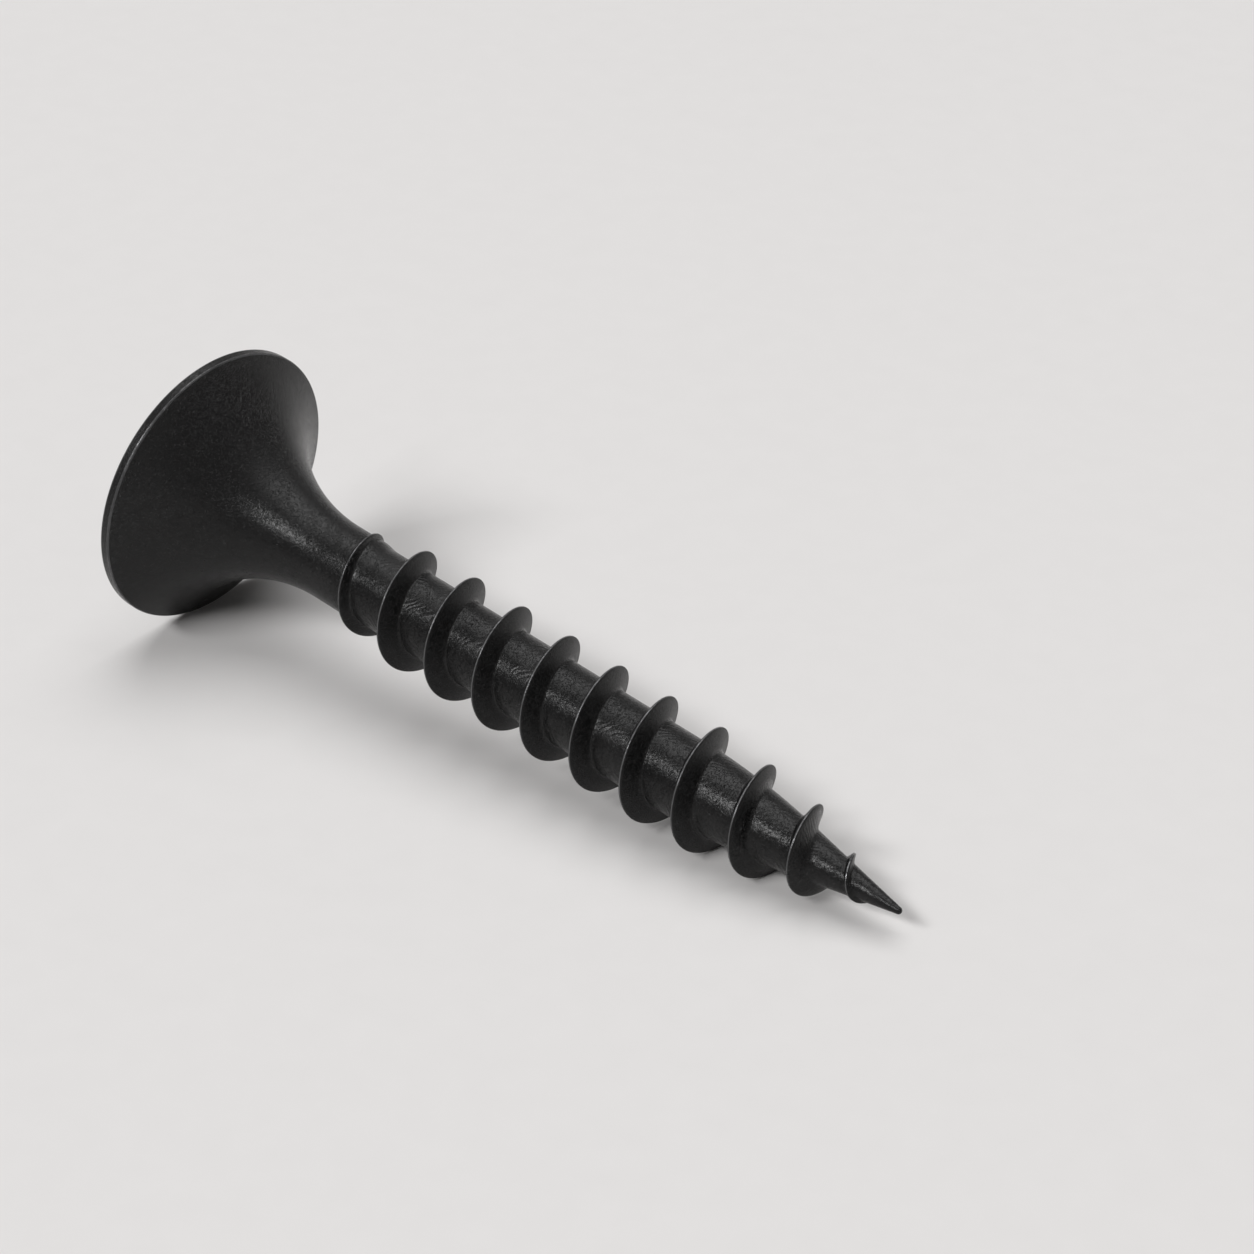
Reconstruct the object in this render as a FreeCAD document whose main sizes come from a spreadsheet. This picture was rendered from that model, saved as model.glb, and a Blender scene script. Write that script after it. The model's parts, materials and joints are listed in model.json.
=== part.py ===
"""A coarse-thread drywall screw with a bugle head and a cross recess, one piece of steel.

The screw is drawn along its own X axis, from the flat face of the head at X = 0 to the point.
It is then laid down as it would come to rest: on the rim of the head and on one crest near
the point, with the floor at Z = 0 and the point towards +X.
"""
import FreeCAD, Part
import os
from math import asin, cos, degrees, radians, sin, tan
import Sketcher

doc = FreeCAD.newDocument("drywall_screw")


# Sizes in millimetres and degrees

DRIVING_SIZES = (
    ("screw_length", "25.2", "flat face of the head to the tip of the point"),
    ("head_diameter", "8.4", "across the rim of the head"),
    ("rim_height", "0.3", "straight land round the edge of the head"),
    ("rim_edge", "0.06", "rounding of the two edges of that land"),
    ("flare_length", "5.2", "flat face to where the hollow flare runs into the neck"),
    ("neck_diameter", "2.34", "plain neck above the thread"),
    ("neck_length", "1", "straight neck between the flare and the step down to the core"),
    ("core_diameter", "2.2", "solid core between the turns of the thread"),
    ("neck_step_length", "0.5", "slope from the neck down to the core"),
    ("point_angle", "21.5", "included angle of the point"),
    ("point_blend_radius", "22", "long curve from the core into the point"),
    ("nose_radius", "0.1", "rounding of the very tip"),
    ("thread_diameter", "3.34", "across the crests"),
    ("thread_pitch", "1.755", "crest to crest along the screw"),
    ("thread_angle", "46", "included angle of the fin"),
    ("crest_width", "0.07", "land on the crest of the fin"),
    ("fin_root_depth", "0.3", "how far the fin is carried on inside the core"),
    ("ending_height", "0.02", "height of the fin where it starts and where it dies away"),
    ("ending_crest_width", "0.03", "land on its crest there"),
    ("ending_root_depth", "0.1", "how far it is carried on inside the core there"),
    ("closing_length", "6.6", "tip to where the thread starts to close in"),
    ("closing_angle", "7.1", "slope of the crests over the closing stretch"),
    ("fading_pitch", "1.45", "crest to crest where the fin dies away"),
    ("fading_step", "0.01", "small step down where it starts to die away"),
    ("recess_span", "4.8", "across the recess, wing end to wing end, at the face"),
    ("recess_wing_width", "1.05", "width of one wing at the face"),
    ("recess_depth", "2.3", "face to the floor of the wings"),
    ("recess_floor_span", "2.3", "wing end to wing end at the floor"),
    ("recess_floor_wing_width", "0.78", "width of one wing at the floor"),
    ("recess_core_diameter", "1.66", "round core that blunts the corners between the wings"),
    ("recess_floor_core_diameter", "1.24", "the same core at the floor"),
    ("recess_core_depth", "0.35", "depth of the core's pointed end below the floor"),
    ("rest_roll", "33", "turn of the screw about its own axis as it lies"),
)

WORKED_OUT = (
    ("neck_end", "=flare_length + neck_length"),
    ("crest_radius", "=thread_diameter / 2"),
    ("fin_root_radius", "=core_diameter / 2 - fin_root_depth"),
    ("cone_slope", "=tan(point_angle / 2 * 1 deg)"),
    ("nose_touch", "=screw_length - nose_radius * (1 - sin(point_angle / 2 * 1 deg))"),
    ("nose_touch_radius", "=nose_radius * cos(point_angle / 2 * 1 deg)"),
    ("cone_start",
     "=nose_touch - (core_diameter / 2 - nose_touch_radius) / cone_slope"),
    ("blend_reach", "=point_blend_radius * tan(point_angle / 4 * 1 deg)"),
    ("blend_length", "=point_blend_radius * sin(point_angle / 2 * 1 deg)"),
    ("closing_turns", "=2"),
    ("ending_turns", "=1.5"),
    ("closing_start", "=screw_length - closing_length"),
    ("straight_turns",
     "=floor((closing_start - flare_length) / thread_pitch - ending_turns)"),
    ("run_out_to", "=closing_start - straight_turns * thread_pitch"),
    ("run_out_from", "=run_out_to - ending_turns * thread_pitch"),
    ("run_out_radius", "=neck_diameter / 2 + ending_height"),
    ("run_out_root_radius", "=neck_diameter / 2 - ending_root_depth"),
    ("run_out_slope", "=(crest_radius - run_out_radius) / (run_out_to - run_out_from)"),
    ("closing_slope", "=tan(closing_angle * 1 deg)"),
    ("fading_from", "=closing_start + closing_turns * thread_pitch"),
    ("fading_to", "=fading_from + ending_turns * fading_pitch"),
    ("fading_radius",
     "=crest_radius - (fading_from - closing_start) * closing_slope - fading_step"),
    ("fading_root_radius",
     "=nose_touch_radius + (nose_touch - fading_from) * cone_slope - fin_root_depth"),
    ("faded_core_radius", "=nose_touch_radius + (nose_touch - fading_to) * cone_slope"),
    ("faded_radius", "=faded_core_radius + ending_height"),
    ("faded_root_radius", "=faded_core_radius - ending_root_depth"),
    ("fading_slope", "=(fading_radius - faded_radius) / (fading_to - fading_from)"),
    ("recess_core_radius", "=recess_core_diameter / 2"),
    ("recess_floor_core_radius", "=recess_floor_core_diameter / 2"),
    ("recess_end", "=recess_depth + recess_core_depth"),
    ("resting_crest", "=closing_start + (1 + (180 - rest_roll) / 360) * thread_pitch"),
    ("resting_crest_radius",
     "=crest_radius - (resting_crest - closing_start) * closing_slope"),
    ("resting_rim",
     "=rim_height - rim_edge * (head_diameter - neck_diameter)"
     " / (2 * (flare_length - rim_height))"),
    ("rest_drop", "=head_diameter / 2 - rim_edge - resting_crest_radius"),
    ("rest_reach", "=resting_crest + crest_width / 2 - resting_rim"),
    ("rest_tilt",
     "=(atan(rest_drop / rest_reach)"
     " + asin(rim_edge / sqrt(rest_drop ^ 2 + rest_reach ^ 2))) / 1 deg"),
    ("rest_height",
     "=(head_diameter / 2 - rim_edge) * cos(rest_tilt * 1 deg)"
     " + resting_rim * sin(rest_tilt * 1 deg) + rim_edge"),
    ("rest_offset",
     "=(head_diameter / 2 * sin(rest_tilt * 1 deg)"
     " - screw_length * cos(rest_tilt * 1 deg)) / 2"),
)

sheet = doc.addObject("Spreadsheet::Sheet", "Sizes")


def fill_row(row, alias, content, note=""):
    sheet.set("A%d" % row, alias)
    sheet.set("B%d" % row, content)
    sheet.set("C%d" % row, note)
    sheet.setAlias("B%d" % row, alias)


for row, (alias, content, note) in enumerate(DRIVING_SIZES, start=1):
    fill_row(row, alias, content, note)
for row, (alias, content) in enumerate(WORKED_OUT, start=len(DRIVING_SIZES) + 2):
    fill_row(row, alias, content)
doc.recompute()


def size(alias):
    return float(sheet.get(alias))


# Sketch helpers

body = doc.addObject("PartDesign::Body", "Screw")
body.Label = "screw"
H_AXIS, V_AXIS = -1, -2
ORIGIN = (-1, 1)
START, END, CENTRE = 1, 2, 3


def vector(x, y):
    return FreeCAD.Vector(x, y, 0)


def new_sketch(name, role, depth=None):
    """A sketch on one of the body's origin planes, lifted off it by a size where one is given."""
    sketch = body.newObject("Sketcher::SketchObject", name)
    plane = next(item for item in body.Origin.OriginFeatures if item.Role == role)
    sketch.AttachmentSupport = [(plane, "")]
    sketch.MapMode = "FlatFace"
    if depth:
        sketch.setExpression(".AttachmentOffset.Base.z", "Sizes." + depth)
    return sketch


def draw_outline(sketch, corners):
    """A closed outline of straight lines; every corner's two sizes are aliases of the sheet."""
    points = [vector(*(size(alias) if alias else 0 for alias in corner)) for corner in corners]
    for line, start in enumerate(points):
        sketch.addGeometry(Part.LineSegment(start, points[(line + 1) % len(points)]), False)
    for line, (across, up) in enumerate(corners):
        following = (line + 1) % len(corners)
        sketch.addConstraint(Sketcher.Constraint("Coincident", line, END, following, START))
        if across:
            drive(sketch, "across_%d" % line, across,
                  "DistanceX", *ORIGIN, line, START, size(across))
        else:
            sketch.addConstraint(Sketcher.Constraint("PointOnObject", line, START, V_AXIS))
        if up:
            drive(sketch, "up_%d" % line, up, "DistanceY", *ORIGIN, line, START, size(up))
        else:
            sketch.addConstraint(Sketcher.Constraint("PointOnObject", line, START, H_AXIS))


def drive(sketch, name, expression, *constraint):
    """A named dimension bound to the sheet."""
    index = sketch.addConstraint(Sketcher.Constraint(*constraint))
    sketch.renameConstraint(index, name)
    sketch.setExpression("Constraints." + name, "Sizes." + expression)


def finished(feature, previous=None, adds=True):
    """Recomputes, and stops where the feature failed or did nothing."""
    body.Tip = feature
    doc.recompute()
    if {"Invalid", "Error"} & set(feature.State):
        raise RuntimeError("%s failed" % feature.Name)
    if previous:
        change = feature.Shape.Volume - previous.Shape.Volume
        if (change > 0) != adds:
            raise RuntimeError("%s changed the volume by %.4f" % (feature.Name, change))
    return feature


# The blank: a headed wire, turned about its axis


def add_line(sketch, start, end):
    return sketch.addGeometry(Part.LineSegment(vector(*start), vector(*end)), False)


def add_arc(sketch, centre, radius, first_angle, last_angle):
    circle = Part.Circle(vector(*centre), FreeCAD.Vector(0, 0, 1), radius)
    arc = Part.ArcOfCircle(circle, radians(first_angle), radians(last_angle))
    return sketch.addGeometry(arc, False)


def join(sketch, *ends):
    sketch.addConstraint(Sketcher.Constraint("Coincident", *ends))


def run_smoothly(sketch, *ends):
    sketch.addConstraint(Sketcher.Constraint("Tangent", *ends))


head_radius = size("head_diameter") / 2
neck_radius = size("neck_diameter") / 2
core_radius = size("core_diameter") / 2
half_angle = size("point_angle") / 2
flare_reach = size("flare_length") - size("rim_height")
flare_rise = head_radius - neck_radius
flare_radius = (flare_reach ** 2 + flare_rise ** 2) / (2 * flare_rise)
flare_sweep = degrees(asin(flare_reach / flare_radius))
blend_radius = size("point_blend_radius")
blend_start = size("cone_start") - size("blend_reach")


def blend_corner(share):
    """A corner on the long curve, at a share of its turn."""
    turn = radians(half_angle * share)
    return blend_start + blend_radius * sin(turn), core_radius - blend_radius * (1 - cos(turn))



face = (0, head_radius)
rim_corner = (size("rim_height"), head_radius)
flare_end = (size("flare_length"), neck_radius)
neck_end = (size("neck_end"), neck_radius)
core_start = (size("neck_end") + size("neck_step_length"), core_radius)
blend_corners = [blend_corner(share) for share in (0, 1 / 3, 2 / 3, 1)]
cone_end = (size("nose_touch"), size("nose_touch_radius"))
tip = (size("screw_length"), 0)

blank = new_sketch("BlankProfile", "XZ_Plane")
face_line = add_line(blank, (0, 0), face)
rim_line = add_line(blank, face, rim_corner)
flare_arc = add_arc(
    blank, (flare_end[0], neck_radius + flare_radius), flare_radius, 270 - flare_sweep, 270)
neck_line = add_line(blank, flare_end, neck_end)
step_line = add_line(blank, neck_end, core_start)
core_line = add_line(blank, core_start, blend_corners[0])
blend_lines = [add_line(blank, *ends) for ends in zip(blend_corners, blend_corners[1:])]
cone_line = add_line(blank, blend_corners[-1], cone_end)
nose_arc = add_arc(
    blank, (tip[0] - size("nose_radius"), 0), size("nose_radius"), 0, 90 - half_angle)
axis_line = add_line(blank, tip, (0, 0))

join(blank, axis_line, END, face_line, START)
join(blank, face_line, START, *ORIGIN)
join(blank, face_line, END, rim_line, START)
join(blank, rim_line, END, flare_arc, START)
run_smoothly(blank, flare_arc, END, neck_line, START)
join(blank, neck_line, END, step_line, START)
join(blank, step_line, END, core_line, START)
for line, following in zip((core_line, *blend_lines), (*blend_lines, cone_line)):
    join(blank, line, END, following, START)
run_smoothly(blank, cone_line, END, nose_arc, END)
join(blank, nose_arc, START, axis_line, START)
blank.addConstraint(Sketcher.Constraint("Vertical", face_line))
blank.addConstraint(Sketcher.Constraint("Horizontal", axis_line))
blank.addConstraint(Sketcher.Constraint("PointOnObject", nose_arc, CENTRE, H_AXIS))
for line in (rim_line, neck_line, core_line):
    blank.addConstraint(Sketcher.Constraint("Horizontal", line))
drive(blank, "head_radius", "head_diameter / 2", "DistanceY", *ORIGIN, face_line, END, head_radius)
drive(blank, "rim_height", "rim_height", "DistanceX", rim_line, START, rim_line, END, rim_corner[0])
drive(blank, "flare_length", "flare_length",
      "DistanceX", *ORIGIN, neck_line, START, flare_end[0])
drive(blank, "neck_radius", "neck_diameter / 2",
      "DistanceY", *ORIGIN, neck_line, START, neck_radius)
drive(blank, "neck_end", "neck_end", "DistanceX", *ORIGIN, neck_line, END, neck_end[0])
drive(blank, "neck_step", "neck_step_length",
      "DistanceX", step_line, START, step_line, END, size("neck_step_length"))
drive(blank, "core_radius", "core_diameter / 2",
      "DistanceY", *ORIGIN, core_line, START, core_radius)
for step, line in enumerate(blend_lines):
    share = (step + 0.5) / len(blend_lines)
    drive(blank, "blend_angle_%d" % step, "point_angle / 2 * %.6f * 1 deg" % share,
          "Angle", line, END, axis_line, START, radians(half_angle * share))
for line in blend_lines[1:]:
    blank.addConstraint(Sketcher.Constraint("Equal", blend_lines[0], line))
drive(blank, "blend_length", "blend_length", "DistanceX", core_line, END, cone_line, START,
      blend_corners[-1][0] - blend_start)
drive(blank, "half_angle", "point_angle / 2 * 1 deg",
      "Angle", cone_line, END, axis_line, START, radians(half_angle))
drive(blank, "nose_radius", "nose_radius", "Radius", nose_arc, size("nose_radius"))
drive(blank, "screw_length", "screw_length", "DistanceX", *ORIGIN, axis_line, START, tip[0])

turned = body.newObject("PartDesign::Revolution", "TurnedBlank")
turned.Profile = (blank, [""])
turned.ReferenceAxis = (blank, ["H_Axis"])
turned.Angle = 360
finished(turned)


# The two rounded edges of the rim


def is_rim_edge(edge):
    if edge.Degenerated or not isinstance(edge.Curve, Part.Circle):
        return False
    return abs(edge.Curve.Radius - head_radius) < 1e-6


rim = body.newObject("PartDesign::Fillet", "RimEdges")
rim.Base = (turned, ["Edge%d" % number for number, edge in enumerate(turned.Shape.Edges, start=1)
                     if is_rim_edge(edge)])
rim.setExpression("Radius", "Sizes.rim_edge")
finished(rim, turned, adds=False)


# The cross recess: one tapering wing, four times round, and the punch's pointed round core


def draw_wing(sketch, width, span):
    """Half a wing's length from the axis outwards, as wide as the wing."""
    half_width = size(width) / 2
    reach = size(span) / 2
    inner = add_line(sketch, (-half_width, 0), (half_width, 0))
    right = add_line(sketch, (half_width, 0), (half_width, reach))
    outer = add_line(sketch, (half_width, reach), (-half_width, reach))
    left = add_line(sketch, (-half_width, reach), (-half_width, 0))
    for first, second in ((inner, right), (right, outer), (outer, left), (left, inner)):
        join(sketch, first, END, second, START)
    sketch.addConstraint(Sketcher.Constraint("Horizontal", outer))
    sketch.addConstraint(Sketcher.Constraint("Vertical", right))
    sketch.addConstraint(Sketcher.Constraint("Vertical", left))
    sketch.addConstraint(
        Sketcher.Constraint("Symmetric", inner, START, inner, END, *ORIGIN))
    drive(sketch, "width", width, "DistanceX", inner, START, inner, END, size(width))
    drive(sketch, "reach", span + " / 2", "DistanceY", right, START, right, END, reach)


wing_mouth = new_sketch("WingMouth", "YZ_Plane")
draw_wing(wing_mouth, "recess_wing_width", "recess_span")
wing_floor = new_sketch("WingFloor", "YZ_Plane", depth="recess_depth")
draw_wing(wing_floor, "recess_floor_wing_width", "recess_floor_span")
wing = body.newObject("PartDesign::SubtractiveLoft", "Wing")
wing.Profile = (wing_mouth, [""])
wing.Sections = [(wing_floor, [""])]
wing.Ruled = True
finished(wing, rim, adds=False)

wings = body.newObject("PartDesign::PolarPattern", "Wings")
wings.Originals = [wing]
wings.Axis = (blank, ["H_Axis"])
wings.Angle = 360
wings.Occurrences = 4
finished(wings, wing, adds=False)


core_profile = new_sketch("RecessCoreProfile", "XZ_Plane")
draw_outline(core_profile, (
    ("", ""),
    ("", "recess_core_radius"),
    ("recess_depth", "recess_floor_core_radius"),
    ("recess_end", ""),
))
recess_core = body.newObject("PartDesign::Groove", "RecessCore")
recess_core.Profile = (core_profile, [""])
recess_core.ReferenceAxis = (core_profile, ["H_Axis"])
recess_core.Angle = 360
finished(recess_core, wings, adds=False)


# The thread: one fin, counted in turns so that its four stretches meet in the plane of the
# sketches. It grows out of the neck, runs straight, closes in as the core does and dies away.


def draw_fin(name, place, crest, root, crest_width, below_axis=False):
    """The fin's section at a place along the screw, above the axis or below it."""
    sketch = new_sketch(name, "XZ_Plane")
    side = -1 if below_axis else 1
    half_crest = size(crest_width) / 2
    flank_spread = (size(crest) - size(root)) * tan(radians(size("thread_angle") / 2))
    half_base = half_crest + flank_spread
    corners = (
        (size(place) - half_crest, size(crest) * side),
        (size(place) + half_crest, size(crest) * side),
        (size(place) + half_base, size(root) * side),
        (size(place) - half_base, size(root) * side),
    )
    sides = [add_line(sketch, *ends) for ends in zip(corners, corners[1:] + corners[:1])]
    top, front, bottom, back = sides
    for line, following in zip(sides, sides[1:] + sides[:1]):
        join(sketch, line, END, following, START)
    sketch.addConstraint(Sketcher.Constraint("Horizontal", top))
    sketch.addConstraint(Sketcher.Constraint("Horizontal", bottom))
    sketch.addConstraint(Sketcher.Constraint("Equal", front, back))
    drive(sketch, "crest_width", crest_width,
          "DistanceX", top, START, top, END, size(crest_width))
    drive(sketch, "base_width",
          "%s + 2 * (Sizes.%s - Sizes.%s) * tan(Sizes.thread_angle / 2 * 1 deg)"
          % (crest_width, crest, root), "DistanceX", bottom, END, bottom, START, half_base * 2)
    drive(sketch, "place", "%s - Sizes.%s / 2" % (place, crest_width),
          "DistanceX", *ORIGIN, top, START, size(place) - half_crest)
    for name, alias, line in (("crest_radius", crest, top), ("root_radius", root, bottom)):
        ends = (line, START, *ORIGIN) if below_axis else (*ORIGIN, line, START)
        drive(sketch, name, alias, "DistanceY", *ends, size(alias))
    return sketch


def add_path(name, start, end, pitch, radius, slope, start_below_axis=False):
    """A right-handed helix along the screw whose radius changes by a slope."""
    helix = doc.addObject("Part::Helix", name + "Helix")
    helix.setExpression("Pitch", "Sizes." + pitch)
    helix.setExpression("Height", "Sizes.%s - Sizes.%s" % (end, start))
    helix.setExpression("Radius", "Sizes." + radius)
    helix.setExpression("Angle", "atan(%s) / 1 deg" % slope)
    doc.recompute()
    side = -1 if start_below_axis else 1
    path = body.newObject("PartDesign::SubShapeBinder", name + "Path")
    path.Support = [(helix, "")]
    path.Relative = False
    path.Placement.Rotation = FreeCAD.Rotation(
        FreeCAD.Vector(0, 0, side), FreeCAD.Vector(0, -side, 0), FreeCAD.Vector(1, 0, 0), "XYZ")
    path.setExpression("Placement.Base.x", "Sizes." + start)
    doc.recompute()
    return path


def add_pipe(name, profile, path, previous, last_profile=None):
    """Carries a section of the fin along a path, changing into the last section on the way."""
    pipe = body.newObject("PartDesign::AdditivePipe", name)
    pipe.Profile = (profile, [""])
    pipe.Spine = (path, ["Edge%d" % number for number, _ in enumerate(path.Shape.Edges, start=1)])
    pipe.Mode = "Binormal"
    pipe.Binormal = FreeCAD.Vector(1, 0, 0)
    if last_profile:
        pipe.Transformation = "Multisection"
        pipe.Sections = [(last_profile, [""])]
    return finished(pipe, previous)


fin = draw_fin("Fin", "closing_start", "crest_radius", "fin_root_radius", "crest_width")
straight_thread = body.newObject("PartDesign::AdditiveHelix", "StraightThread")
straight_thread.Profile = (fin, [""])
straight_thread.ReferenceAxis = (fin, ["H_Axis"])
straight_thread.Mode = "pitch-height-angle"
straight_thread.Reversed = True
straight_thread.setExpression("Pitch", "Sizes.thread_pitch")
straight_thread.setExpression("Height", "Sizes.straight_turns * Sizes.thread_pitch")
finished(straight_thread, recess_core)

closing_thread = add_pipe(
    "ClosingThread", fin,
    add_path("Closing", "closing_start", "fading_from", "thread_pitch", "crest_radius",
             "-Sizes.closing_slope"),
    straight_thread)

run_out = add_pipe(
    "RunOut",
    draw_fin("RunOutStart", "run_out_from", "run_out_radius", "run_out_root_radius",
             "ending_crest_width", below_axis=True),
    add_path("RunOut", "run_out_from", "run_out_to", "thread_pitch", "run_out_radius",
             "Sizes.run_out_slope", start_below_axis=True),
    closing_thread,
    draw_fin("RunOutEnd", "run_out_to", "crest_radius", "fin_root_radius", "crest_width"))

fading = add_pipe(
    "Fading",
    draw_fin("FadingStart", "fading_from", "fading_radius", "fading_root_radius", "crest_width"),
    add_path("Fading", "fading_from", "fading_to", "fading_pitch", "fading_radius",
             "-Sizes.fading_slope"),
    run_out,
    draw_fin("FadingEnd", "fading_to", "faded_radius", "faded_root_radius",
             "ending_crest_width", below_axis=True))


# The screw as it lies, and its file

body.setExpression("Placement.Rotation.Pitch", "Sizes.rest_tilt")
body.setExpression("Placement.Rotation.Roll", "Sizes.rest_roll")
body.setExpression("Placement.Base.x", "Sizes.rest_offset")
body.setExpression("Placement.Base.z", "Sizes.rest_height")
doc.recompute()

for item in doc.Objects:
    if {"Invalid", "Error"} & set(item.State):
        raise RuntimeError("%s failed" % item.Name)
if body.Shape.isNull() or not body.Shape.isValid() or len(body.Shape.Solids) != 1:
    raise RuntimeError("the screw isn't one sound solid")

os.makedirs("parts", exist_ok=True)
body.Shape.exportStep("parts/%s.step" % body.Label)
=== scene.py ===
import json
from math import asin, atan2, cos, pi, radians, sin, tan

import bmesh
import bpy
import numpy as np
from mathutils import Matrix, Vector


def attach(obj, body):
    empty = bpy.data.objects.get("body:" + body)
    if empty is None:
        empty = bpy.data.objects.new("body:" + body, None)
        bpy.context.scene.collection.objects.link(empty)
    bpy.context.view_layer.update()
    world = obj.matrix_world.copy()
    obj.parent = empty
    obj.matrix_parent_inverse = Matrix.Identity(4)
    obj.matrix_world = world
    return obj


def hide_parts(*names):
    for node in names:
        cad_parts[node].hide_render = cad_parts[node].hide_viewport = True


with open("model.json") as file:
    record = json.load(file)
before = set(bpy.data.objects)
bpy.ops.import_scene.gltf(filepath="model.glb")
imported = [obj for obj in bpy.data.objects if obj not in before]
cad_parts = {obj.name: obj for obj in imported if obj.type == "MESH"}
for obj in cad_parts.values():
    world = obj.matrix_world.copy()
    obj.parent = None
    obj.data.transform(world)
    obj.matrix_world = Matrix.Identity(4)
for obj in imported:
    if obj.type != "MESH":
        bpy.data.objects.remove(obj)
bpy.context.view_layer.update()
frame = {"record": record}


# The screw, one length of hardened steel wire with a forged head and a rolled thread. It lies on
# its side. Sizes are in millimetres along its own axis, from the flat face of the head at 0.

mm = 0.001
drive = next(mount for mount in frame["record"]["mounts"] if mount["name"] == "drive_recess")
face_centre = np.array(drive["pos_m"])
along = -np.array(drive["axis"])
upwards = np.array((-along[2], 0.0, along[0]))
sideways = np.cross(along, upwards)
rest_roll = radians(33)

skin_points = []
skin_rub_and_painted_highlight = []
skin_faces = []


def add_points(reach, radius, angle, rub_and_painted_highlight=0.0):
    """Adds a ring or a sheet of points with its rub and painted highlight, and returns their numbers."""
    places = np.stack(np.broadcast_arrays(reach, radius, angle), axis=-1)
    first = sum(len(block) for block in skin_points)
    skin_points.append(places.reshape(-1, 3))
    skin_rub_and_painted_highlight.append(np.broadcast_to(rub_and_painted_highlight, places[..., 0].shape).ravel())
    return first + np.arange(places[..., 0].size).reshape(places[..., 0].shape)


def sew(near, far):
    """Closes the strip between two rings of points with four-sided faces."""
    corners = np.stack((near, np.roll(near, -1), np.roll(far, -1), far), axis=-1)
    skin_faces.extend(corners.reshape(-1, 4).tolist())


# The cross recess, punched by a tapering cruciform punch with a round core and a pointed end.
# Its outline is walked round one quarter at a time, corner to corner, and every ring of the head
# and shank keeps the same columns. Pairs of sizes are at the face and at the floor.

recess_depth = 2.3
recess_core_depth = 0.35
wing_reaches = (2.4, 1.15)
wing_half_widths = (0.525, 0.39)
core_radii = (0.83, 0.62)
mouth_edge = 0.045
mouth_rub_and_painted_highlight = 0.62
wing_end_columns = 6
wing_side_columns = 12
core_columns = 4


def recess_outline(depth, growth=0.0):
    """Angle and radius round the recess at a depth below the face, grown outwards by a little."""
    share = depth / recess_depth
    reach, half_width, core = (
        at_face + (at_floor - at_face) * share + growth
        for at_face, at_floor in (wing_reaches, wing_half_widths, core_radii))
    wing_corner = atan2(half_width, reach)
    core_corner = asin(half_width / core)
    end = np.linspace(0, wing_corner, wing_end_columns, endpoint=False)
    side = np.linspace(wing_corner, core_corner, wing_side_columns, endpoint=False)
    arc = np.linspace(core_corner, pi / 4, core_columns // 2, endpoint=False)
    eighth = np.concatenate((end, side, arc))
    lengths = np.concatenate((reach / np.cos(end), half_width / np.sin(side), np.full(len(arc), core)))
    quarter = np.concatenate((eighth, [pi / 4], pi / 2 - eighth[:0:-1]))
    quarter_lengths = np.concatenate((lengths, [core], lengths[:0:-1]))
    angles = np.concatenate([quarter + turn * pi / 2 for turn in range(4)])
    return angles, np.tile(quarter_lengths, 4)


columns, mouth_lengths = recess_outline(0.0, mouth_edge)
floor_angles = recess_outline(recess_depth)[0]
previous = add_points(recess_depth + recess_core_depth, 0.0, columns)
for share in (0.35, 0.7, 1.0):
    ring = add_points(
        recess_depth + recess_core_depth * (1 - share), core_radii[1] * share, floor_angles)
    sew(previous, ring)
    previous = ring
for depth in np.linspace(recess_depth, mouth_edge, 9):
    ring_angles, ring_lengths = recess_outline(depth)
    ring = add_points(depth, ring_lengths, ring_angles)
    sew(previous, ring)
    previous = ring
for turn in np.linspace(pi / 2, 0, 5)[1:]:
    ring_angles, ring_lengths = recess_outline(0.0, mouth_edge * (1 - sin(turn)))
    # The mouth's rounded edge is lightened, partly as rubbed bare steel and partly as a painted
    # highlight.
    ring = add_points(mouth_edge * (1 - cos(turn)), ring_lengths, ring_angles, mouth_rub_and_painted_highlight)
    sew(previous, ring)
    previous = ring


# The bugle head, upset from the wire between a punch and a die: a flat face, a narrow land with
# two rounded edges, which rub bright and are lightened also as a painted highlight, and the hollow
# flare that runs into the neck without a step.

head_radius = 4.2
rim_height = 0.3
rim_edge = 0.06
flare_length = 5.2
neck_radius = 1.17
# Lightening of the rim: rubbed bare steel, and on its two edges also a painted highlight line.
front_edge_rub_and_painted_highlight = 0.6
land_wear = 0.2
back_edge_rub_and_painted_highlight = 0.62

flat_radius = head_radius - rim_edge
for share in np.linspace(0, 1, 9)[1:]:
    ring = add_points(0.0, mouth_lengths + (flat_radius - mouth_lengths) * share, columns)
    sew(previous, ring)
    previous = ring
for turn in np.linspace(0, pi / 2, 6)[1:]:
    ring = add_points(
        rim_edge * (1 - cos(turn)), flat_radius + rim_edge * sin(turn), columns, front_edge_rub_and_painted_highlight)
    sew(previous, ring)
    previous = ring

flare_reach = flare_length - rim_height
flare_rise = head_radius - neck_radius
flare_radius = (flare_reach ** 2 + flare_rise ** 2) / (2 * flare_rise)
flare_sweep = asin(flare_reach / flare_radius)
edge_centre = rim_height - rim_edge * tan(flare_sweep / 2)
for share in (0.15, 0.5, 0.85):
    ring = add_points(rim_edge + (edge_centre - rim_edge) * share, head_radius, columns, land_wear)
    sew(previous, ring)
    previous = ring
for turn in np.linspace(0, flare_sweep, 6):
    ring = add_points(
        edge_centre + rim_edge * sin(turn), flat_radius + rim_edge * cos(turn), columns, back_edge_rub_and_painted_highlight)
    sew(previous, ring)
    previous = ring


def flare_surface(reach):
    """Radius of the flare, and beyond it of the neck."""
    return neck_radius + flare_radius - np.sqrt(
        flare_radius ** 2 - np.clip(flare_length - reach, 0, flare_length) ** 2)


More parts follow.
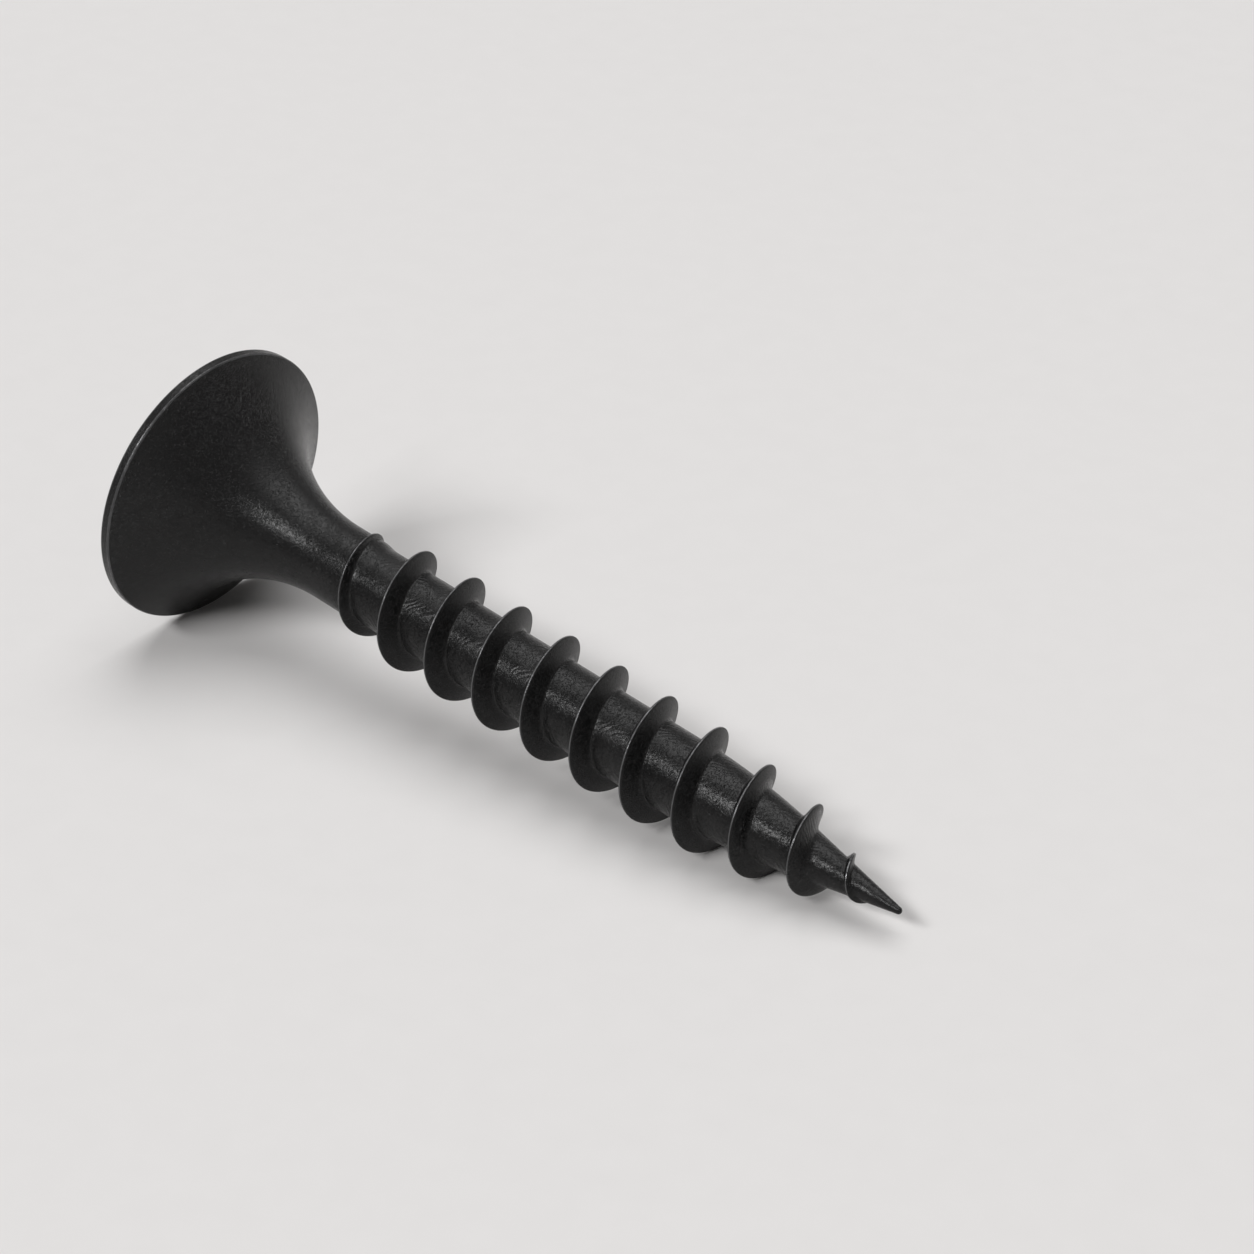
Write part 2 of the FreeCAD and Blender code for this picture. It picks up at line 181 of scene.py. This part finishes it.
neck_seam = 5.1
seam_turn = asin((flare_length - neck_seam) / flare_radius)
flare_start_turn = flare_sweep - 0.015
for turn in np.linspace(flare_start_turn, seam_turn, 40, endpoint=False):
    reach = flare_length - flare_radius * sin(turn)
    ring = add_points(reach, flare_surface(reach), columns)
    sew(previous, ring)
    previous = ring


# The thread, one fin rolled up out of the core between the dies. The points lie on a grid that
# winds with the fin, so its crest and both roots stay sharp all the way along. It is counted in
# turns from where it starts to close in: it grows out of the neck and dies away near the tip.

screw_length = 25.2
neck_end = 6.2
neck_step_length = 0.5
core_radius = 1.1
half_point = radians(21.5 / 2)
point_blend_radius = 22.0
nose_radius = 0.1
thread_pitch = 1.755
fading_pitch = 1.45
thread_radius = 1.67
fin_slope = tan(radians(46 / 2))
half_crest = 0.035
closing_start = 18.6
closing_turns = 2
crest_turns = (-7.65, -7.5, -6, 0, closing_turns, 2.9, 3.5, 3.65)
crest_radii = (1.1, 1.19, thread_radius, thread_radius, 1.2328, 0.57, 0.31, 0.05)
crest_rounding = 0.045
root_fillet = 0.11

nose_centre = screw_length - nose_radius
nose_touch = nose_centre + nose_radius * sin(half_point)
cone_start = nose_touch - (core_radius - nose_radius * cos(half_point)) / tan(half_point)
blend_start = cone_start - point_blend_radius * tan(half_point / 2)
blend_length = point_blend_radius * sin(half_point)


def smooth_step(share):
    """Rises from 0 to 1 with soft ends."""
    share = np.clip(share, 0, 1)
    return share * share * (3 - 2 * share)


def blend_high(first, second, width):
    """The higher of two surfaces, with a soft fillet where they cross."""
    share = np.clip(0.5 + 0.5 * (first - second) / width, 0, 1)
    return second + (first - second) * share + width * share * (1 - share)


def blend_low(first, second, width):
    """The lower of two surfaces, with a soft edge where they cross."""
    return -blend_high(-first, -second, width)


def core_surface(reach):
    """Radius of the neck, the core, the long curve and the point, without the thread."""
    radius = flare_surface(reach)
    radius -= (neck_radius - core_radius) * smooth_step((reach - neck_end) / neck_step_length)
    bend = np.clip(reach - blend_start, 0, blend_length)
    radius -= point_blend_radius - np.sqrt(point_blend_radius ** 2 - bend ** 2)
    return radius - tan(half_point) * np.clip(reach - blend_start - blend_length, 0, None)


def reach_after(turns):
    """Place along the screw of a number of turns, counted from where the thread closes in."""
    fading = np.clip(turns - closing_turns, 0, None)
    return closing_start + thread_pitch * (turns - fading) + fading_pitch * fading


half_pitch = thread_pitch / 2
crest_reach = 0.065
flank_reach = 0.2
root_reach = 0.34
crest_steps = np.linspace(0, crest_reach, 4, endpoint=False)
flank_steps = np.linspace(crest_reach, flank_reach, 5, endpoint=False)
root_steps = np.linspace(flank_reach, root_reach, 6, endpoint=False)
valley_steps = np.linspace(root_reach, half_pitch, 6, endpoint=False)
half_steps = np.concatenate((crest_steps, flank_steps, root_steps, valley_steps))
pitch_steps = np.concatenate(([-half_pitch], -half_steps[:0:-1], half_steps))

first_turn = int((neck_seam - closing_start) / thread_pitch) - 2
last_turn = 6
whole_turns = np.repeat(np.arange(first_turn, last_turn), len(pitch_steps))
turns = whole_turns + columns[:, None] / (2 * pi)
steps = np.tile(pitch_steps, last_turn - first_turn)
placed = reach_after(turns + steps / thread_pitch)
beside_crest = np.abs(placed - reach_after(turns))
reach = np.clip(placed, neck_seam, nose_touch)

full_fillet_height = 0.3
least_fillet = 0.25
rub_and_painted_highlight_height = 0.08
bright_half_width = 0.005
bright_fading = 0.027
core = core_surface(reach)
crest = np.interp(turns, crest_turns, crest_radii)
flank = crest - (beside_crest - half_crest) / fin_slope
fin = blend_low(flank, crest, crest_rounding)
height = np.clip(crest - core, 0, None)
radius = blend_high(core, fin, root_fillet * np.clip(height / full_fillet_height, least_fillet, 1))
# The crest of the fin is lightened along a thin line: partly rubbed bare steel, partly a painted
# highlight.
rub_and_painted_highlight = smooth_step(height / rub_and_painted_highlight_height) * (
    1 - smooth_step((beside_crest - bright_half_width) / bright_fading))
sheet = add_points(reach, radius, columns[:, None], rub_and_painted_highlight)
following = np.minimum(np.arange(reach.shape[1]) + len(pitch_steps), reach.shape[1] - 1)
beyond = np.vstack((sheet[1:], sheet[0][following]))
reach_beyond = np.vstack((reach[1:], reach[0][following]))
quads = np.stack((sheet[:, :-1], sheet[:, 1:], beyond[:, 1:], beyond[:, :-1]), axis=-1)
open_quads = (reach_beyond[:, 1:] > neck_seam) & (reach[:, :-1] < nose_touch)
skin_faces.extend(quads[open_quads].tolist())
sew(previous, sheet[:, 0])


# The tip, where the two dies pinch the waste off the wire. It is left as a small rounded nose,
# which runs on from the cone of the point.

nose_wear = 0.3
previous = sheet[:, -1]
for turn in np.linspace(pi / 2 - half_point, 0, 7)[1:]:
    ring = add_points(
        nose_centre + nose_radius * cos(turn), nose_radius * sin(turn), columns, nose_wear)
    sew(previous, ring)
    previous = ring


# The skin of the whole screw, closed all round and laid down where the frame has it. Each point
# carries its place on the screw, for the grain, and how far it is lightened, as rubbed bare steel
# and, along crests and edges, as a painted highlight.

weld_distance = 0.0002 * mm
shortest_edge = 0.0001 * mm
sharpest_turn = radians(38)

own = np.vstack(skin_points)
own_reach, own_radius, own_angle = own.T
laid_angle = own_angle + rest_roll
outwards = np.outer(np.cos(laid_angle), upwards) + np.outer(np.sin(laid_angle), sideways)
laid = face_centre + mm * (np.outer(own_reach, along) + own_radius[:, None] * outwards)
skin = bpy.data.meshes.new("coated_screw")
skin.from_pydata(laid.tolist(), [], skin_faces)
own_place = np.stack((own_reach, own_radius * np.cos(own_angle), own_radius * np.sin(own_angle)), axis=1)
skin.attributes.new("own_place", "FLOAT_VECTOR", "POINT").data.foreach_set("vector", own_place.ravel())
skin.attributes.new("rub_and_painted_highlight", "FLOAT", "POINT").data.foreach_set("value", np.concatenate(skin_rub_and_painted_highlight))

sewing = bmesh.new()
sewing.from_mesh(skin)
bmesh.ops.remove_doubles(sewing, verts=sewing.verts, dist=weld_distance)
bmesh.ops.dissolve_degenerate(sewing, edges=sewing.edges, dist=shortest_edge)
bmesh.ops.recalc_face_normals(sewing, faces=sewing.faces)
sewing.to_mesh(skin)
sewing.free()
skin.polygons.foreach_set("use_smooth", [True] * len(skin.polygons))
skin.set_sharp_from_angle(angle=sharpest_turn)
screw = bpy.data.objects.new("coated_screw", skin)
bpy.context.scene.collection.objects.link(screw)
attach(screw, "root")
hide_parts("screw")


# The finish: black phosphate, a thin satin crust grown on the steel in a hot bath and oiled. It is
# finely grained, lined on the core by the rolling dies, and rubbed through to bare steel along the
# crest of the thread, the rim and the mouth of the recess, where the lighter colour is also a
# painted highlight. Tiny lighter specks over it are painted glints.


class Signal:
    """One socket of a finish. Sums and products of signals add their own Math nodes."""

    def __init__(self, tree, socket=None):
        self.tree = tree
        self.socket = socket

    def node(self, kind, settings=None, inputs=None, output=0):
        """Adds any node: its settings first, then the values or links of its sockets."""
        made = self.tree.nodes.new(kind)
        for name, setting in (settings or {}).items():
            setattr(made, name, setting)
        for name, given in (inputs or {}).items():
            if isinstance(given, Signal):
                self.tree.links.new(given.socket, made.inputs[name])
            else:
                made.inputs[name].default_value = given
        return Signal(self.tree, made.outputs[output] if made.outputs else None)

    def math(self, operation, first, second):
        return self.node("ShaderNodeMath", {"operation": operation}, {0: first, 1: second})

    def __add__(self, other):
        return self.math("ADD", self, other)

    __radd__ = __add__

    def __sub__(self, other):
        return self.math("SUBTRACT", self, other)

    def __rsub__(self, other):
        return self.math("SUBTRACT", other, self)

    def __mul__(self, other):
        return self.math("MULTIPLY", self, other)

    __rmul__ = __mul__


def new_finish(name):
    """An empty material and a signal to build it from."""
    material = bpy.data.materials.new(name)
    material.use_nodes = True
    material.node_tree.nodes.clear()
    return material, Signal(material.node_tree)


def fade(signal, low, high):
    """0 below low, 1 above high, and smooth between."""
    return signal.node("ShaderNodeMapRange", {"interpolation_type": "SMOOTHSTEP"},
                       {"Value": signal, "From Min": low, "From Max": high})


def stretch(place, factors):
    """A place scaled by three factors, so that a grain runs long in one direction."""
    return place.node("ShaderNodeVectorMath", {"operation": "MULTIPLY"}, {0: place, 1: factors})


def grain(place, scale, detail=3.0, roughness=0.5, distortion=0.0):
    """A noise with so many grains to a unit of place."""
    return place.node("ShaderNodeTexNoise", {"noise_dimensions": "3D"}, {
        "Vector": place, "Scale": scale, "Detail": detail, "Roughness": roughness,
        "Distortion": distortion})


finish, bath = new_finish("black_phosphate")
place = bath.node("ShaderNodeAttribute", {"attribute_name": "own_place"}, output="Vector")
rub_and_painted_highlight_edge = bath.node("ShaderNodeAttribute", {"attribute_name": "rub_and_painted_highlight"}, output="Fac")

patches = grain(place, 1.1, detail=3.0, roughness=0.6)
crust = grain(place, 14.0, detail=4.0, roughness=0.55, distortion=1.2)
worm_field = grain(stretch(place, (1.0, 0.8, 0.8)), 8.5, detail=1.0, distortion=1.6)
worm_distance = worm_field.node("ShaderNodeMath", {"operation": "ABSOLUTE"}, {0: worm_field - 0.5})
worms = 1 - fade(worm_distance, 0.0, 0.045)
place_along = place.node("ShaderNodeSeparateXYZ", inputs={0: place})
spoke = stretch(place, (0.0, 1.0, 1.0))
place_out = place.node("ShaderNodeVectorMath", {"operation": "LENGTH"}, {0: spoke}, output="Value")
threaded = fade(place_along, neck_end, neck_end + 0.8)
on_fin = threaded * fade(place_out, core_radius, core_radius + 0.12)
die_lines = place.node("ShaderNodeTexWave", {"wave_type": "BANDS", "bands_direction": "DIAGONAL"}, {
    "Vector": place, "Scale": 3.0, "Distortion": 10.0, "Detail": 1.0, "Detail Scale": 0.6,
    "Detail Roughness": 0.4}, output="Fac")
rolled = threaded * (1 - on_fin) * fade(patches, 0.42, 0.58)
# Tiny specks, a little smoother and lighter in colour; the lighter colour is a painted glint.
painted_glint_specks = fade(grain(place, 16.0, detail=1.0), 0.66, 0.74)
# The lightened crests and edges: rubbed bare steel and a painted highlight.
rubbed_and_painted_highlight_edges = fade(rub_and_painted_highlight_edge * (0.55 + patches), 0.35, 0.9)

coal = (0.0012, 0.0012, 0.0013, 1.0)
soot = (0.0028, 0.0027, 0.0027, 1.0)
# Bare steel colour, used also for the painted highlight on crests and edges and the painted glints of
# the specks.
bare_steel_and_painted_highlight = (0.13, 0.13, 0.133, 1.0)
crust_height = 0.028 * mm
crust_colour = bath.node("ShaderNodeMix", {"data_type": "RGBA"}, {
    "Factor": fade(patches * 0.6 + crust * 0.4, 0.35, 0.65), "A": coal, "B": soot}, output="Result")
# The colour: the crust, lightened towards bare steel on crests and edges, partly as a painted highlight,
# and in the specks as painted glints.
colour = bath.node("ShaderNodeMix", {"data_type": "RGBA"}, {
    "Factor": rubbed_and_painted_highlight_edges + painted_glint_specks * 0.12, "A": crust_colour, "B": bare_steel_and_painted_highlight}, output="Result")
relief = crust * 0.42 + worms * (0.55 - rolled * 0.35) + die_lines * rolled * 0.27
bump = bath.node("ShaderNodeBump", inputs={
    "Strength": 0.8, "Distance": crust_height, "Height": relief})
shine = 0.22 + patches * 0.08 + on_fin * 0.14 - rubbed_and_painted_highlight_edges * 0.08 - painted_glint_specks * 0.06
coat = bath.node("ShaderNodeBsdfPrincipled", inputs={
    "Base Color": colour, "Metallic": rubbed_and_painted_highlight_edges * 0.8, "Roughness": shine, "Normal": bump,
    "Specular IOR Level": 0.3})
bath.node("ShaderNodeOutputMaterial", inputs={"Surface": coat})
skin.materials.append(finish)


# The table under the screw: a smooth pale sheet, matt and even, larger than any view. The screw
# only lies on it, and it isn't part of the object.

half_table = 4.5
table_mesh = bpy.data.meshes.new("table")
table_mesh.from_pydata(
    [(-half_table, -half_table, 0), (half_table, -half_table, 0),
     (half_table, half_table, 0), (-half_table, half_table, 0)], [], [(0, 1, 2, 3)])
floor = bpy.data.objects.new("table", table_mesh)
bpy.context.scene.collection.objects.link(floor)
paper, pulp = new_finish("pale_table")
fibres = grain(pulp.node("ShaderNodeTexCoord", output="Object"), 900.0, detail=2.0)
sheet_colour = pulp.node("ShaderNodeMix", {"data_type": "RGBA"}, {
    "Factor": fibres, "A": (0.725, 0.711, 0.704, 1.0), "B": (0.749, 0.735, 0.728, 1.0)},
    output="Result")
matt = pulp.node("ShaderNodeBsdfPrincipled", inputs={"Base Color": sheet_colour, "Roughness": 0.75})
pulp.node("ShaderNodeOutputMaterial", inputs={"Surface": matt})
table_mesh.materials.append(paper)


# The light: a large soft box overhead, a little behind the screw, a smaller one up in front on
# the camera's left, and a dim room. Its far wall, seen or mirrored, is a plain pale grey.

room_grey = (0.74, 0.725, 0.72, 1.0)
room = bpy.data.worlds.new("room")
bpy.context.scene.world = room
room.use_nodes = True
room.node_tree.nodes.clear()
wall = Signal(room.node_tree)
seen = (wall.node("ShaderNodeLightPath", output="Is Camera Ray")
        + wall.node("ShaderNodeLightPath", output="Is Glossy Ray")
        + wall.node("ShaderNodeLightPath", output="Is Transmission Ray"))
dim = wall.node("ShaderNodeBackground", inputs={"Color": room_grey, "Strength": 0.12})
pale = wall.node("ShaderNodeBackground", inputs={"Color": room_grey, "Strength": 0.5})
both = wall.node("ShaderNodeMixShader", inputs={0: seen, 1: dim, 2: pale})
wall.node("ShaderNodeOutputWorld", inputs={"Surface": both})


def add_soft_box(name, towards, distance, width, height, watts):
    """A soft box in a direction from the screw's middle, which it looks at."""
    lamp = bpy.data.lights.new(name, "AREA")
    lamp.shape = "RECTANGLE"
    lamp.size = width
    lamp.size_y = height
    lamp.energy = watts
    holder = bpy.data.objects.new(name, lamp)
    direction = Vector(towards).normalized()
    holder.location = direction * distance
    holder.rotation_euler = direction.to_track_quat("Z", "Y").to_euler()
    bpy.context.scene.collection.objects.link(holder)


add_soft_box("key_box", (-0.06, -0.71, 0.69), distance=3.0, width=1.8, height=0.5, watts=56.0)
add_soft_box("top_box", (-0.1, 0.25, 0.96), distance=4.0, width=3.9, height=3.9, watts=110.0)


# The camera, on a stand where the photograph was taken from: above the screw, in front of it and
# towards its point, with a long lens and hardly tilted.

lens = 100.0
sensor = 36.0
azimuth = radians(40.63)
elevation = radians(32.42)
tilt = radians(0.44)
stand = Vector((53.62, -58.24, 54.42)) * mm
back = Vector((sin(azimuth) * cos(elevation), -cos(azimuth) * cos(elevation), sin(elevation)))
camera_data = bpy.data.cameras.new("camera")
camera_data.lens = lens
camera_data.sensor_width = sensor
camera_data.clip_start = 0.005
camera_data.clip_end = 10.0
camera = bpy.data.objects.new("camera", camera_data)
camera.matrix_world = Matrix.Translation(stand) @ (
    (-back).to_track_quat("-Z", "Y").to_matrix().to_4x4() @ Matrix.Rotation(-tilt, 4, "Z"))
bpy.context.scene.collection.objects.link(camera)
bpy.context.scene.camera = camera
bpy.context.scene.view_settings.view_transform = "Standard"
